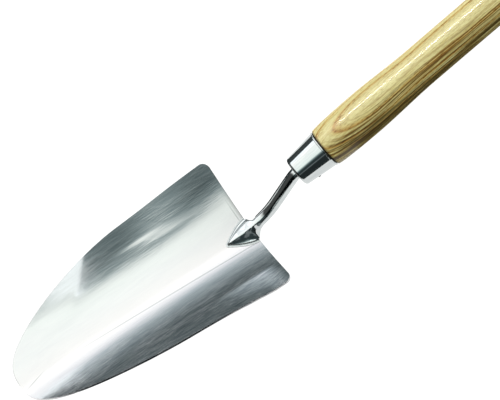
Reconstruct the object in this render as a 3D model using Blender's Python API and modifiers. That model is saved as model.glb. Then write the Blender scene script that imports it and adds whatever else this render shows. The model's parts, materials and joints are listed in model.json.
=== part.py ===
"""Garden trowel: a dished stainless blade, a swan neck welded to it, a ferrule and a turned ash handle.

Metres, +Z up. The pieces are modelled in the tool's own frame, which an empty then lays down at rest:
its origin is the middle of the blade's rear edge on the inner face, the tip points to -X, the handle
goes to +X and the open side of the blade looks up.
"""
import math

import bmesh
import bpy
import numpy as np
from mathutils import Vector

# Blade: one pressed sheet. Lengths run from the rear edge toward the tip.
BLADE_LENGTH = 0.1689
BLADE_STRAIGHT_LENGTH = 0.0709
BLADE_REAR_WIDTH = 0.0970
BLADE_SIDE_ANGLE = math.radians(4.39)
BLADE_CORNER_RADIUS = 0.005
BLADE_THICKNESS = 0.0015
BLADE_EDGE_BREAK = 0.0003
BLADE_REAR_RADIUS = 0.0505
BLADE_MIDDLE_RADIUS = 0.0465
BLADE_NOSE_RADIUS = 0.0515
BLADE_ROUND_TO = 0.015
BLADE_STRAIGHT_FROM = 0.035
BLADE_BOW = 0.0020
BLADE_TIP_DROP = 0.0019
NOSE_FULLNESS = 1.76
NOSE_BLUNTNESS = 2.82

# Foot of the neck, a ridged leaf that lies in the blade
FOOT_LENGTH = 0.0172
FOOT_WIDTH = 0.0162
FOOT_EDGE = 0.0010
FOOT_TIP_HEIGHT = 0.0013
FOOT_HEEL_HEIGHT = 0.0035
FOOT_SHOULDER_LENGTH = 0.0045
FOOT_POINT = 0.0003
FOOT_LEAF_POWER = 1.6

# Neck: a round bar with two bends, and its tang inside the handle
NECK_DIAMETER = 0.0076
NECK_KNEE_REACH = 0.0102
NECK_KNEE_BEND = 0.038
NECK_COLLAR_BEND = 0.010
NECK_COLLAR_OUT = 0.0011
NECK_BLEND_LENGTH = 0.007
TANG_LENGTH = 0.085
TANG_TAPER_START = 0.024
TANG_TIP_DIAMETER = 0.004

# Weld bead round the foot
WELD_RADIUS = 0.0007

# Ferrule: a tapered cap, closed round the neck
FERRULE_REACH = 0.0374
FERRULE_RISE = 0.0336
FERRULE_LENGTH = 0.0224
FERRULE_SMALL_DIAMETER = 0.0195
FERRULE_LARGE_DIAMETER = 0.0244
FERRULE_WALL = 0.0008
FERRULE_END_WALL = 0.0010
FERRULE_END_ROUND = 0.0020
FERRULE_RIM_WIDTH = 0.0012
FERRULE_RIM_RAISE = 0.0003
PIN_DIAMETER = 0.0018
PIN_LENGTH = 0.0062
PIN_HEAD_RAISE = 0.0003
PIN_FROM_SMALL_END = 0.0094
PIN_BELOW_SIDE = math.radians(24)

# Handle: turned ash, swelled behind the ferrule
HANDLE_LIFT = math.radians(16.8)
HANDLE_LENGTH = 0.305
HANDLE_START_DIAMETER = 0.0246
HANDLE_SWELL_DIAMETER = 0.0274
HANDLE_SWELL_AT = 0.031
HANDLE_SWELL_END = 0.076
HANDLE_SHAFT_DIAMETER = 0.02475
BUTT_ROUND = 0.0065
BUTT_LEAST_FLAT = 0.004

# Clearances between pieces that touch on the real tool
FIT = 0.0003
NECK_HOLE_FIT = 0.00055
TANG_END_FIT = 0.002

# Fineness of the faceted surfaces
BLADE_ROWS = 28
BLADE_COLUMNS = 24
CORNER_FADE = 8
NECK_SIDES = 24
NECK_RING_SPACING = 0.0035
WELD_STEPS = 10
SWELL_STEPS = 9
BEND_STEPS = 14
BEND_ROOM = 0.48
TURN_STEPS = 40
PIN_SIDES = 16

DOUBLES = 1e-6


def clear_scene():
    for old in list(bpy.data.objects):
        bpy.data.objects.remove(old, do_unlink=True)


def new_collection(name):
    collection = bpy.data.collections.new(name)
    bpy.context.scene.collection.children.link(collection)
    return collection


def new_material(name, colour, metallic, roughness):
    material = bpy.data.materials.new(name)
    material.use_nodes = True
    shader = material.node_tree.nodes["Principled BSDF"]
    shader.inputs["Base Color"].default_value = (*colour, 1)
    shader.inputs["Metallic"].default_value = metallic
    shader.inputs["Roughness"].default_value = roughness
    material.diffuse_color = (*colour, 1)
    return material


def mesh_object(name, bm, collection, parent=None, material=None):
    mesh = bpy.data.meshes.new(name)
    bm.to_mesh(mesh)
    bm.free()
    obj = bpy.data.objects.new(name, mesh)
    collection.objects.link(obj)
    obj.parent = parent
    if material:
        mesh.materials.append(material)
    return obj


def smooth(obj, angle=40):
    obj.data.shade_smooth()
    obj.data.set_sharp_from_angle(angle=math.radians(angle))


def ease(share):
    share = min(max(share, 0.0), 1.0)
    return share * share * (3 - 2 * share)


def turned(name, profile, collection, parent, material):
    """A solid turned about local Z from (radius, height) points, outer side first, top to bottom."""
    bm = bmesh.new()
    closed = profile[0][0] > DOUBLES
    verts = [bm.verts.new((radius, 0, height)) for radius, height in profile]
    for first, second in zip(verts, verts[1:]):
        bm.edges.new((first, second))
    if closed:
        bm.edges.new((verts[-1], verts[0]))
    obj = mesh_object(name, bm, collection, parent, material)
    screw = obj.modifiers.new("turn", "SCREW")
    screw.axis = "Z"
    screw.steps = TURN_STEPS
    screw.render_steps = TURN_STEPS
    screw.use_merge_vertices = True
    screw.merge_threshold = DOUBLES
    screw.use_smooth_shade = True
    return obj


def arc_points(centre, radius, start, end, count):
    """Points (radius, height) on an arc between two angles in degrees, measured from the +radius side."""
    angles = np.radians(np.linspace(start, end, count))
    return [(centre[0] + radius * math.cos(a), centre[1] + radius * math.sin(a)) for a in angles]


def blade_half_width(back):
    """Half of the blade's width at a distance back from its rear edge toward the tip."""
    straight = BLADE_REAR_WIDTH / 2 - back * math.tan(BLADE_SIDE_ANGLE)
    nose_length = BLADE_LENGTH - BLADE_STRAIGHT_LENGTH
    share = min(max((back - BLADE_STRAIGHT_LENGTH) / nose_length, 0.0), 1.0)
    return straight * (1 - share ** NOSE_FULLNESS) ** (1 / NOSE_BLUNTNESS)


def blade_section(y):
    """Rise of the blade's section at y for a radius of 1: an arc in the middle that eases into straight wings."""
    middle = min(abs(y), BLADE_ROUND_TO)
    easing = min(max(abs(y) - BLADE_ROUND_TO, 0.0), BLADE_STRAIGHT_FROM - BLADE_ROUND_TO)
    wing = max(abs(y) - BLADE_STRAIGHT_FROM, 0.0)
    rise = middle ** 2 / 2 + BLADE_ROUND_TO * easing + easing ** 2 / 2
    rise -= easing ** 3 / (6 * (BLADE_STRAIGHT_FROM - BLADE_ROUND_TO))
    return rise + (BLADE_ROUND_TO + BLADE_STRAIGHT_FROM) / 2 * wing


def blade_inner_height(x, y):
    """Height of the blade's inner face: a dish whose middle radius changes from the rear edge to the nose."""
    share = -x / BLADE_LENGTH
    curve = (
        (1 - share) * (1 - 2 * share) / BLADE_REAR_RADIUS
        + 4 * share * (1 - share) / BLADE_MIDDLE_RADIUS
        + share * (2 * share - 1) / BLADE_NOSE_RADIUS
    )
    lengthwise = BLADE_BOW * 4 * share * (1 - share) - BLADE_TIP_DROP * share ** 3
    return curve * blade_section(y) + lengthwise


def corner_inset(across):
    """How far the rear edge draws back at a rounded corner; across runs from -1 to 1 over the width."""
    half = BLADE_REAR_WIDTH / 2
    radius = min(BLADE_CORNER_RADIUS, half)
    into = max(abs(across) * half - (half - radius), 0.0)
    return radius - math.sqrt(max(radius * radius - into * into, 0.0))


def make_blade(collection, parent, material):
    bm = bmesh.new()
    bmesh.ops.create_grid(bm, x_segments=BLADE_ROWS, y_segments=BLADE_COLUMNS, size=1)
    for vert in bm.verts:
        row = (1 - vert.co.x) / 2
        share = math.sin(math.pi / 2 * row)
        across = math.sin(math.pi / 2 * vert.co.y)
        back = min(BLADE_LENGTH * share + corner_inset(across) * (1 - share) ** CORNER_FADE, BLADE_LENGTH)
        y = across * blade_half_width(back)
        vert.co = (-back, y, blade_inner_height(-back, y))
    bmesh.ops.remove_doubles(bm, verts=bm.verts, dist=DOUBLES)
    obj = mesh_object("blade", bm, collection, parent, material)
    sheet = obj.modifiers.new("sheet", "SOLIDIFY")
    sheet.thickness = BLADE_THICKNESS
    sheet.offset = -1
    sheet.use_even_offset = True
    edge = obj.modifiers.new("broken edges", "BEVEL")
    edge.width = BLADE_EDGE_BREAK
    edge.segments = 1
    edge.limit_method = "ANGLE"
    edge.angle_limit = math.radians(60)
    smooth(obj)
    return obj


def handle_direction():
    return np.array([math.cos(HANDLE_LIFT), math.sin(HANDLE_LIFT)])


def ferrule_centre():
    """Middle of the ferrule's closed end, as (x, z)."""
    return np.array([FERRULE_REACH, FERRULE_RISE])


def rounded_path(corners, radii):
    """Points (x, z) along straight runs whose inner corners are rounded by arcs."""
    points = [corners[0]]
    for before, corner, after, radius in zip(corners, corners[1:], corners[2:], radii):
        into = (corner - before) / np.linalg.norm(corner - before)
        out = (after - corner) / np.linalg.norm(after - corner)
        turn = math.atan2(into[0] * out[1] - into[1] * out[0], float(into @ out))
        room = BEND_ROOM * min(np.linalg.norm(corner - before), np.linalg.norm(after - corner))
        tangent = min(radius * math.tan(abs(turn) / 2), room)
        used = tangent / math.tan(abs(turn) / 2)
        start = corner - into * tangent
        side = math.copysign(1.0, turn) * np.array([-into[1], into[0]])
        for step in range(BEND_STEPS + 1):
            angle = abs(turn) * step / BEND_STEPS
            points.append(start + into * used * math.sin(angle) + side * used * (1 - math.cos(angle)))
    points.append(corners[-1])
    return points


def subdivided(points):
    result = [points[0]]
    for first, second in zip(points, points[1:]):
        pieces = max(1, math.ceil(np.linalg.norm(second - first) / NECK_RING_SPACING))
        result.extend(first + (second - first) * (i + 1) / pieces for i in range(pieces))
    return result


def foot_half_width(x):
    """Half width of the foot and of the neck behind it, in plan."""
    rod = NECK_DIAMETER / 2
    if x <= 0:
        share = min(-x / FOOT_LENGTH, 1.0)
        return max(FOOT_WIDTH / 2 * (1 - share ** FOOT_LEAF_POWER), FOOT_POINT)
    return rod + (FOOT_WIDTH / 2 - rod) * max(1 - x / FOOT_SHOULDER_LENGTH, 0.0) ** 2


def foot_ridge_height(x):
    """How far the ridge stands over the neck's centre line."""
    rod = NECK_DIAMETER / 2
    share = min(max(1 + x / FOOT_LENGTH, 0.0), 1.0)
    return FOOT_POINT + (rod - FOOT_POINT) * share


def neck_path():
    """Centre line of the foot, the neck and the tang, from the foot's point to the tang's end."""
    foot_slope = (FOOT_HEEL_HEIGHT - FOOT_TIP_HEIGHT) / FOOT_LENGTH
    foot_tip = np.array([-FOOT_LENGTH, FOOT_TIP_HEIGHT])
    knee = np.array([NECK_KNEE_REACH, FOOT_HEEL_HEIGHT + foot_slope * NECK_KNEE_REACH])
    collar = ferrule_centre() - handle_direction() * NECK_COLLAR_OUT
    taper_start = ferrule_centre() + handle_direction() * TANG_TAPER_START
    tang_end = ferrule_centre() + handle_direction() * TANG_LENGTH
    bent = rounded_path([foot_tip, knee, collar, taper_start], [NECK_KNEE_BEND, NECK_COLLAR_BEND])
    return subdivided(bent) + [tang_end]


def neck_section(point, direction, radius):
    """One ring of the neck: a ridged leaf over the blade that turns into a round bar behind it."""
    up = np.array([-direction[1], direction[0]])
    x = point[0]
    leaf = 1 - ease(x / NECK_BLEND_LENGTH)
    slimmed = radius / (NECK_DIAMETER / 2)
    half = foot_half_width(x) * slimmed
    top = foot_ridge_height(x) * slimmed
    ring = []
    for i in range(NECK_SIDES):
        angle = 2 * math.pi * i / NECK_SIDES
        y = half * math.cos(angle)
        round_height = (top if math.sin(angle) > 0 else radius) * math.sin(angle)
        floor = (blade_inner_height(min(x, 0.0), y) + FIT - point[1]) / up[1]
        edge = floor + min(FOOT_EDGE, (top - floor) / 2)
        leaf_height = edge + (top - edge) * (1 - abs(y) / half)
        if math.sin(angle) < -DOUBLES:
            leaf_height = floor
        height = leaf * leaf_height + (1 - leaf) * round_height
        ring.append((x + up[0] * height, y, point[1] + up[1] * height))
    return ring


def make_neck(collection, parent, material):
    path = neck_path()
    bm = bmesh.new()
    rings = []
    for i, point in enumerate(path):
        before = path[max(i - 1, 0)]
        after = path[min(i + 1, len(path) - 1)]
        direction = (after - before) / np.linalg.norm(after - before)
        radius = TANG_TIP_DIAMETER / 2 if i == len(path) - 1 else NECK_DIAMETER / 2
        ring = neck_section(point, direction, radius)
        rings.append([bm.verts.new(co) for co in ring])
    for ring, following in zip(rings, rings[1:]):
        for i in range(NECK_SIDES):
            j = (i + 1) % NECK_SIDES
            bm.faces.new((ring[i], ring[j], following[j], following[i]))
    bm.faces.new(rings[0][::-1])
    bm.faces.new(rings[-1])
    bmesh.ops.recalc_face_normals(bm, faces=bm.faces)
    obj = mesh_object("swan_neck", bm, collection, parent, material)
    smooth(obj)
    return obj


def weld_outline():
    """Middle of the bead in plan, from one side of the foot's heel round its point to the other side."""
    offset = WELD_RADIUS + FIT
    side = []
    for i in range(WELD_STEPS + 1):
        x = -WELD_RADIUS - (FOOT_LENGTH - WELD_RADIUS) * math.sin(math.pi / 2 * i / WELD_STEPS)
        share = -x / FOOT_LENGTH
        slope = FOOT_WIDTH / 2 * FOOT_LEAF_POWER * share ** (FOOT_LEAF_POWER - 1) / FOOT_LENGTH
        outward = np.array([-slope, 1.0]) / math.hypot(slope, 1.0)
        side.append(np.array([x, foot_half_width(x)]) + outward * offset)
    point = np.array([-FOOT_LENGTH - offset, 0.0])
    return side + [point] + [place * np.array([1, -1]) for place in side[::-1]]


def make_weld(collection, parent, material):
    """A bead along both sides of the foot and round its point."""
    outline = weld_outline()
    curve = bpy.data.curves.new("foot_weld", "CURVE")
    curve.dimensions = "3D"
    curve.bevel_depth = WELD_RADIUS
    curve.bevel_resolution = 2
    curve.use_fill_caps = True
    spline = curve.splines.new("POLY")
    spline.points.add(len(outline) - 1)
    for target, (x, y) in zip(spline.points, outline):
        target.co = (x, y, blade_inner_height(x, y) + WELD_RADIUS + FIT, 1)
    curve.materials.append(material)
    obj = bpy.data.objects.new("foot_weld", curve)
    collection.objects.link(obj)
    obj.parent = parent
    return obj


def ferrule_outer_radius(height):
    share = height / FERRULE_LENGTH
    return (FERRULE_SMALL_DIAMETER + (FERRULE_LARGE_DIAMETER - FERRULE_SMALL_DIAMETER) * share) / 2


def ferrule_inner_radius(height):
    taper = math.atan2((FERRULE_LARGE_DIAMETER - FERRULE_SMALL_DIAMETER) / 2, FERRULE_LENGTH)
    return ferrule_outer_radius(height) - FERRULE_WALL / math.cos(taper)


def pin_cutter(name, collection, parent, radius):
    """A cylinder on the pin's line, for its hole."""
    bm = bmesh.new()
    bmesh.ops.create_cone(
        bm, cap_ends=True, segments=PIN_SIDES, radius1=radius, radius2=radius, depth=PIN_LENGTH + 2 * FIT
    )
    obj = mesh_object(name, bm, collection, parent)
    place_on_pin_line(obj)
    obj.hide_render = True
    obj.display_type = "WIRE"
    return obj


def place_on_pin_line(obj):
    """Puts an object's local Z on the radial line of the pin, with its outer end raised over the ferrule."""
    outward = Vector((math.sin(PIN_BELOW_SIDE), -math.cos(PIN_BELOW_SIDE), 0))
    middle = ferrule_outer_radius(PIN_FROM_SMALL_END) + PIN_HEAD_RAISE - PIN_LENGTH / 2
    obj.rotation_euler = outward.to_track_quat("Z", "Y").to_euler()
    obj.location = outward * middle + Vector((0, 0, PIN_FROM_SMALL_END))


def cut(obj, cutter):
    hole = obj.modifiers.new("pin hole", "BOOLEAN")
    hole.operation = "DIFFERENCE"
    hole.solver = "EXACT"
    hole.object = cutter


def make_ferrule(collection, parent, material, cutter):
    rim_low = FERRULE_LENGTH - FERRULE_RIM_WIDTH
    rim = ferrule_outer_radius(FERRULE_LENGTH) + FERRULE_RIM_RAISE
    round_centre = (ferrule_outer_radius(FERRULE_END_ROUND) - FERRULE_END_ROUND, FERRULE_END_ROUND)
    hole = NECK_DIAMETER / 2 + NECK_HOLE_FIT
    chamfer = FERRULE_RIM_RAISE
    profile = [
        (rim - chamfer, FERRULE_LENGTH),
        (rim, FERRULE_LENGTH - chamfer),
        (rim, rim_low + chamfer),
        (ferrule_outer_radius(rim_low), rim_low),
    ]
    profile += arc_points(round_centre, FERRULE_END_ROUND, 0, -90, 7)
    profile += [
        (hole, 0),
        (hole, FERRULE_END_WALL),
        (ferrule_inner_radius(FERRULE_END_WALL) - FERRULE_END_ROUND / 2, FERRULE_END_WALL),
        (ferrule_inner_radius(FERRULE_END_ROUND), FERRULE_END_ROUND),
        (ferrule_inner_radius(FERRULE_LENGTH), FERRULE_LENGTH),
    ]
    obj = turned("ferrule", profile, collection, parent, material)
    cut(obj, cutter)
    return obj


def make_pin(collection, parent, material):
    bm = bmesh.new()
    radius = PIN_DIAMETER / 2
    bmesh.ops.create_cone(
        bm, cap_ends=True, segments=PIN_SIDES, radius1=radius, radius2=radius, depth=PIN_LENGTH
    )
    obj = mesh_object("ferrule_pin", bm, collection, parent, material)
    place_on_pin_line(obj)
    edge = obj.modifiers.new("domed head", "BEVEL")
    edge.width = PIN_HEAD_RAISE
    edge.segments = 2
    edge.limit_method = "ANGLE"
    edge.angle_limit = math.radians(60)
    smooth(obj)
    return obj


def butt_corner():
    """Rounding of the butt's corner, which leaves a flat in the middle."""
    return min(BUTT_ROUND, (HANDLE_SHAFT_DIAMETER - BUTT_LEAST_FLAT) / 2)


def swell_radius(along):
    """Radius of the handle at a distance along it from the ferrule."""
    start = HANDLE_START_DIAMETER / 2
    swell = HANDLE_SWELL_DIAMETER / 2
    shaft = HANDLE_SHAFT_DIAMETER / 2
    if along <= HANDLE_SWELL_AT:
        return start + (swell - start) * math.sin(math.pi / 2 * math.sqrt(along / HANDLE_SWELL_AT))
    share = min((along - HANDLE_SWELL_AT) / (HANDLE_SWELL_END - HANDLE_SWELL_AT), 1.0)
    return shaft + (swell - shaft) * (1 + math.cos(math.pi * share)) / 2


def make_handle(collection, parent, material, cutter):
    start = FERRULE_LENGTH + FIT
    end = start + HANDLE_LENGTH
    shaft = HANDLE_SHAFT_DIAMETER / 2
    corner = butt_corner()
    shares = [1 - i / SWELL_STEPS for i in range(SWELL_STEPS + 1)]
    falling = [HANDLE_SWELL_AT + (HANDLE_SWELL_END - HANDLE_SWELL_AT) * share for share in shares]
    rising = [HANDLE_SWELL_AT * share ** 2 for share in shares[1:]]
    bore = NECK_DIAMETER / 2 + FIT
    spigot_low = FERRULE_END_WALL + FIT
    spigot_step = FERRULE_END_ROUND
    tang_tip = TANG_TIP_DIAMETER / 2 + FIT
    profile = [(0, end)]
    profile += arc_points((shaft - corner, end - corner), corner, 90, 0, 7)
    profile += [(swell_radius(along), start + along) for along in falling + rising]
    profile += [
        (ferrule_inner_radius(start) - FIT, start),
        (ferrule_inner_radius(spigot_step) - FIT, spigot_step + FIT),
        (ferrule_inner_radius(spigot_low) - FIT - FERRULE_END_ROUND / 2, spigot_low),
        (bore, spigot_low),
        (bore, TANG_TAPER_START + FIT),
        (tang_tip, TANG_LENGTH + FIT),
        (tang_tip, TANG_LENGTH + TANG_END_FIT),
        (0, TANG_LENGTH + TANG_END_FIT),
    ]
    obj = turned("handle", profile, collection, parent, material)
    cut(obj, cutter)
    return obj


def rest_pitch():
    """Angle that lays the tool down on the blade's heel and the handle's butt."""
    heel = np.array([0.0, -BLADE_THICKNESS])
    shaft = HANDLE_SHAFT_DIAMETER / 2
    corner = butt_corner()
    along = FERRULE_LENGTH + FIT + HANDLE_LENGTH - corner
    down = np.array([math.sin(HANDLE_LIFT), -math.cos(HANDLE_LIFT)])
    arc_centre = ferrule_centre() + handle_direction() * along + down * (shaft - corner)
    reach = arc_centre - heel
    return math.atan2(reach[1], reach[0]) - math.asin(corner / np.linalg.norm(reach))


def lay_down(tool, collection):
    """Pitches the tool to its rest and puts the middle of its footprint at the world's origin."""
    tool.rotation_euler = (0, rest_pitch(), 0)
    bpy.context.view_layer.update()
    depsgraph = bpy.context.evaluated_depsgraph_get()
    corners = []
    for obj in collection.objects:
        if obj.type == "EMPTY":
            continue
        evaluated = obj.evaluated_get(depsgraph)
        mesh = evaluated.to_mesh()
        corners.extend(obj.matrix_world @ vert.co for vert in mesh.vertices)
        evaluated.to_mesh_clear()
    low = [min(co[i] for co in corners) for i in range(3)]
    high = [max(co[i] for co in corners) for i in range(3)]
    tool.location = (-(low[0] + high[0]) / 2, -(low[1] + high[1]) / 2, -low[2])


def main():
    clear_scene()
    trowel = new_collection("garden_trowel")
    cutters = new_collection("cutters")

    brushed = new_material("brushed stainless steel", (0.62, 0.64, 0.64), 1.0, 0.28)
    polished = new_material("polished stainless steel", (0.66, 0.68, 0.68), 1.0, 0.12)
    weld = new_material("polished weld", (0.50, 0.52, 0.53), 1.0, 0.35)
    ash = new_material("varnished ash", (0.62, 0.46, 0.22), 0.0, 0.30)

    tool = bpy.data.objects.new("tool_frame", None)
    trowel.objects.link(tool)
    axis = bpy.data.objects.new("handle_axis", None)
    trowel.objects.link(axis)
    axis.parent = tool
    axis.location = (FERRULE_REACH, 0, FERRULE_RISE)
    axis.rotation_euler = (0, math.pi / 2 - HANDLE_LIFT, 0)

    hole = pin_cutter("pin_hole", cutters, axis, PIN_DIAMETER / 2 + FIT)
    make_blade(trowel, tool, brushed)
    make_neck(trowel, tool, polished)
    make_weld(trowel, tool, weld)
    make_ferrule(trowel, axis, polished, hole)
    make_pin(trowel, axis, polished)
    make_handle(trowel, axis, ash, hole)
    lay_down(tool, trowel)


main()
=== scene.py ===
"""Looks of the garden trowel: a pressed stainless blade, a forged and polished swan neck, a drawn ferrule
and a turned, varnished ash handle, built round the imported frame.

Metres throughout. The pieces are modelled in two frames of their own. The tool frame has its origin at
the middle of the blade's rear edge on the inner face, -X toward the tip and +Z out of the dish. The
handle frame has its origin at the middle of the ferrule's closed end and +Z along the handle.
"""

import json
import math

import bmesh
import bpy
import numpy as np
from mathutils import Matrix, Vector, noise


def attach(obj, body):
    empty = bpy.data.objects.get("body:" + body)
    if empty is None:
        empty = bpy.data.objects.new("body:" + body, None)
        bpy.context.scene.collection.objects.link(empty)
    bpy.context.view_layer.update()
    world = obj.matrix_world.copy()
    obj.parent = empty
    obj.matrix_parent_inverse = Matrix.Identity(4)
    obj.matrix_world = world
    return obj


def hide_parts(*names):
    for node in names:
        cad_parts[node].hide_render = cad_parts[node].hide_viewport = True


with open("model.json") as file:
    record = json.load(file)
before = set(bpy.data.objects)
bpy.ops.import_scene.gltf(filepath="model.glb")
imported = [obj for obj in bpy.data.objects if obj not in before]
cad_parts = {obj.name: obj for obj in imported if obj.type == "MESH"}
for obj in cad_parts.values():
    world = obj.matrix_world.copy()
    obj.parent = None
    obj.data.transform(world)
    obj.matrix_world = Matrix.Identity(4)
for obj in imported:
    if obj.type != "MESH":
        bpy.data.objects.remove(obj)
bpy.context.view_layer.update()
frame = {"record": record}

# Image that the camera frames
IMAGE_WIDTH = 500

# Blade, as in the part
BLADE_LENGTH = 0.1689
BLADE_STRAIGHT_LENGTH = 0.0709
BLADE_REAR_WIDTH = 0.0970
BLADE_SIDE_ANGLE = math.radians(4.39)
BLADE_CORNER_RADIUS = 0.005
BLADE_THICKNESS = 0.0015
BLADE_SIDE_ROUND = 0.00004
BLADE_NOSE_ROUND = 0.00035
BLADE_REAR_RADIUS = 0.0505
BLADE_MIDDLE_RADIUS = 0.0465
BLADE_NOSE_RADIUS = 0.0515
BLADE_ROUND_TO = 0.015
BLADE_STRAIGHT_FROM = 0.035
BLADE_BOW = 0.0020
BLADE_TIP_DROP = 0.0019
NOSE_FULLNESS = 1.76
NOSE_BLUNTNESS = 2.82

# The sheet's edge is worn softer round the left of the nose: shares of the length and of the half width
EDGE_WORN_FROM = 0.5
EDGE_WORN_GROWS = 0.2
EDGE_WORN_SIDE = -0.3
EDGE_WORN_SIDE_GROWS = 0.6

# Lip that the shear left along the rear edge, on the left of the foot
REAR_LIP_WIDTH = 0.0028
REAR_LIP_DROP = 0.00012
REAR_LIP_FROM = 0.002
REAR_LIP_GROWS = 0.006
REAR_LIP_TO = 0.021
REAR_LIP_FADES = 0.009

# Soft crease on the left wing where the nose's dish begins
CREASE_BACK = -0.0946
CREASE_SIDE = 0.0398
CREASE_LEAN = 0.667
CREASE_ROUND = 0.0005
CREASE_SLOPE = 0.05
CREASE_FROM = 0.012
CREASE_FULL = 0.026
CREASE_LIMIT = 50.0

# Press line along the dish, in the tool frame: y = side + slope * back + curve * back * back
PRESS_LINE_SIDE = -0.0093
PRESS_LINE_SLOPE = 0.0328
PRESS_LINE_CURVE = 0.1035
PRESS_LINE_WIDTH = 0.0013
PRESS_LINE_DEPTH = 0.00002
PRESS_LINE_FADES = 0.090
PRESS_LINE_FADED = 0.140
LINE_END_SLOPE = 0.267
LINE_END_SIDE = 0.0392
LINE_END_BACK = 0.1600
LINE_END_LENGTH = 0.020
SHEAR_LINE_MIDDLE = 0.013
SHEAR_LINE_LENGTH = 0.030

# Flattened right rear corner
CORNER_FLAT_SIDE = 0.0310
CORNER_FLAT_WIDTH = 0.018
CORNER_FLAT_START = 0.0005
CORNER_FLAT_RISE = 0.0125
CORNER_FLAT_FROM = 0.012
CORNER_FLAT_FADE = 0.042
CORNER_FLAT_SLOPE = 0.28

# Shallow wave along the left wing: lower in the middle, higher at the rear corner
WAVE_SIDE = 0.026
WAVE_WIDTH = 0.030
WAVE_MIDDLE = 0.047
WAVE_MIDDLE_REACH = 0.019
WAVE_MIDDLE_SLOPE = 0.064
WAVE_CORNER = 0.004
WAVE_CORNER_REACH = 0.014
WAVE_CORNER_SIDE = 0.029
WAVE_CORNER_WIDTH = 0.020
WAVE_CORNER_RAISE = 0.00025
SHOULDER_REACH = 0.017
SHOULDER_SIDE = 0.016
SHOULDER_WIDTH = 0.021
SHOULDER_DROP = 0.00048

# Faint step on the left wing
STEP_SIDE = 0.0305
STEP_WIDTH = 0.0009
STEP_BACK = 0.060
STEP_REACH = 0.012
STEP_HEIGHT = 0.00018

# Foot of the neck, a ridged leaf
FOOT_LENGTH = 0.0172
FOOT_WIDTH = 0.0162
FOOT_EDGE = 0.0010
FOOT_TIP_HEIGHT = 0.0013
FOOT_HEEL_HEIGHT = 0.0035
FOOT_SHOULDER_LENGTH = 0.0045
FOOT_POINT = 0.0003
FOOT_LEAF_POWER = 1.6
FOOT_RIDGE_POWER = 0.55
FOOT_RIDGE_SIDE = 0.0016
FOOT_SCOOP_POWER = 1.08
FOOT_LEFT_SLOPE = math.radians(13)
FOOT_BEVEL = 0.0036
# The bevel falls steeply at first, then at a middling slope and almost level at its foot: start and slope
FOOT_BEVEL_FALLS = ((0.0, 2.4), (0.172, 1.2), (0.79, 0.21))
FOOT_DENT_SIZE = 0.0030
FOOT_DENT_DEPTH = 0.00030
FOOT_LEFT_DENT_SHARE = 0.35
FOOT_DENT_EASE = 0.002
FOOT_DENT_FADE_FROM = 0.9

# Neck and tang
NECK_RADIUS = 0.0038
NECK_KNEE_REACH = 0.0102
NECK_KNEE_BEND = 0.038
NECK_COLLAR_BEND = 0.010
NECK_COLLAR_OUT = 0.0011
NECK_BLEND_LENGTH = 0.007
TANG_LENGTH = 0.085
TANG_TAPER_START = 0.024
TANG_TIP_DIAMETER = 0.004

# Weld round the foot, ground to a hollow fillet
WELD_GAP = 0.00015
WELD_REACH = 0.0015
WELD_HEIGHT = 0.0010
WELD_STEPS = 8
WELD_TIP_STEPS = 8

# Ferrule and pin
FERRULE_REACH = 0.0374
FERRULE_RISE = 0.0336
FERRULE_LENGTH = 0.0224
FERRULE_SMALL_DIAMETER = 0.0195
FERRULE_LARGE_DIAMETER = 0.0244
FERRULE_WALL = 0.0008
FERRULE_END_WALL = 0.0010
FERRULE_END_ROUND = 0.0020
FERRULE_RIM_WIDTH = 0.0012
FERRULE_RIM_RAISE = 0.0003
PIN_DIAMETER = 0.0018
PIN_LENGTH = 0.0062
PIN_HEAD_RAISE = 0.0003
PIN_FROM_SMALL_END = 0.0094
PIN_BELOW_SIDE = math.radians(24)

# A small groove in the wood at the ferrule's rim, and a near-black line painted on the wood beside it:
# painted shade of the gap there
JOINT_SHADE_WIDTH = 0.0022
JOINT_GROOVE = 0.0005

# Handle
HANDLE_LIFT = math.radians(16.8)
HANDLE_LENGTH = 0.305
HANDLE_START_DIAMETER = 0.0246
HANDLE_SWELL_DIAMETER = 0.0274
HANDLE_SWELL_AT = 0.031
HANDLE_SWELL_END = 0.076
HANDLE_SHAFT_DIAMETER = 0.02475
BUTT_ROUND = 0.0065
BUTT_WEAR = 0.00001

# Clearances, as in the part
FIT = 0.0003
NECK_HOLE_FIT = 0.00055
TANG_END_FIT = 0.002

# Fineness of the shown surfaces
BLADE_ROWS = 150
BLADE_COLUMNS = 160
REAR_ROW_SPACING = 0.0004
REAR_ROWS_TO = 0.0072
EDGE_STEPS = 4
SLOPE_STEP = 1e-5
CORNER_FADE = 8
NECK_SIDES = 72
NECK_RING_SPACING = 0.0008
BEND_STEPS = 30
BEND_ROOM = 0.48
TURN_STEPS = 128
SWELL_STEPS = 36
PIN_SIDES = 32
PIN_HEAD_STEPS = 4
PIN_HEAD_CORNER = math.radians(60)
WELD_LINE_STEPS = 60
FERRULE_ROUND_STEPS = 16
BUTT_ROUND_STEPS = 20
SHARP_ANGLE = math.radians(40)

# Camera, in the tool frame
CAMERA_AZIMUTH = math.radians(-106.6)
CAMERA_ELEVATION = math.radians(64.1)
CAMERA_ROLL = math.radians(-18.5)
CAMERA_AIM_HEIGHT = 0.020
CAMERA_DISTANCE = 1.4
CAMERA_LENS = 168.0
CAMERA_SENSOR = 36.0
CAMERA_SHIFT_X_PIXELS = 2.4
CAMERA_SHIFT_Y_PIXELS = 16.3

DOUBLES = 1e-6
MAKER_PLACE = "maker_place"
MM = 0.001


def linear(hex_colour):
    """An sRGB hex colour as a linear RGBA tuple."""
    values = [int(hex_colour[i : i + 2], 16) / 255 for i in (1, 3, 5)]
    return tuple(v / 12.92 if v <= 0.04045 else ((v + 0.055) / 1.055) ** 2.4 for v in values) + (1.0,)


def fill(tree, node, inputs):
    """Fills a node's inputs with values or links."""
    for name, value in inputs.items():
        if isinstance(value, bpy.types.NodeSocket):
            tree.links.new(value, node.inputs[name])
        else:
            node.inputs[name].default_value = value


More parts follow.
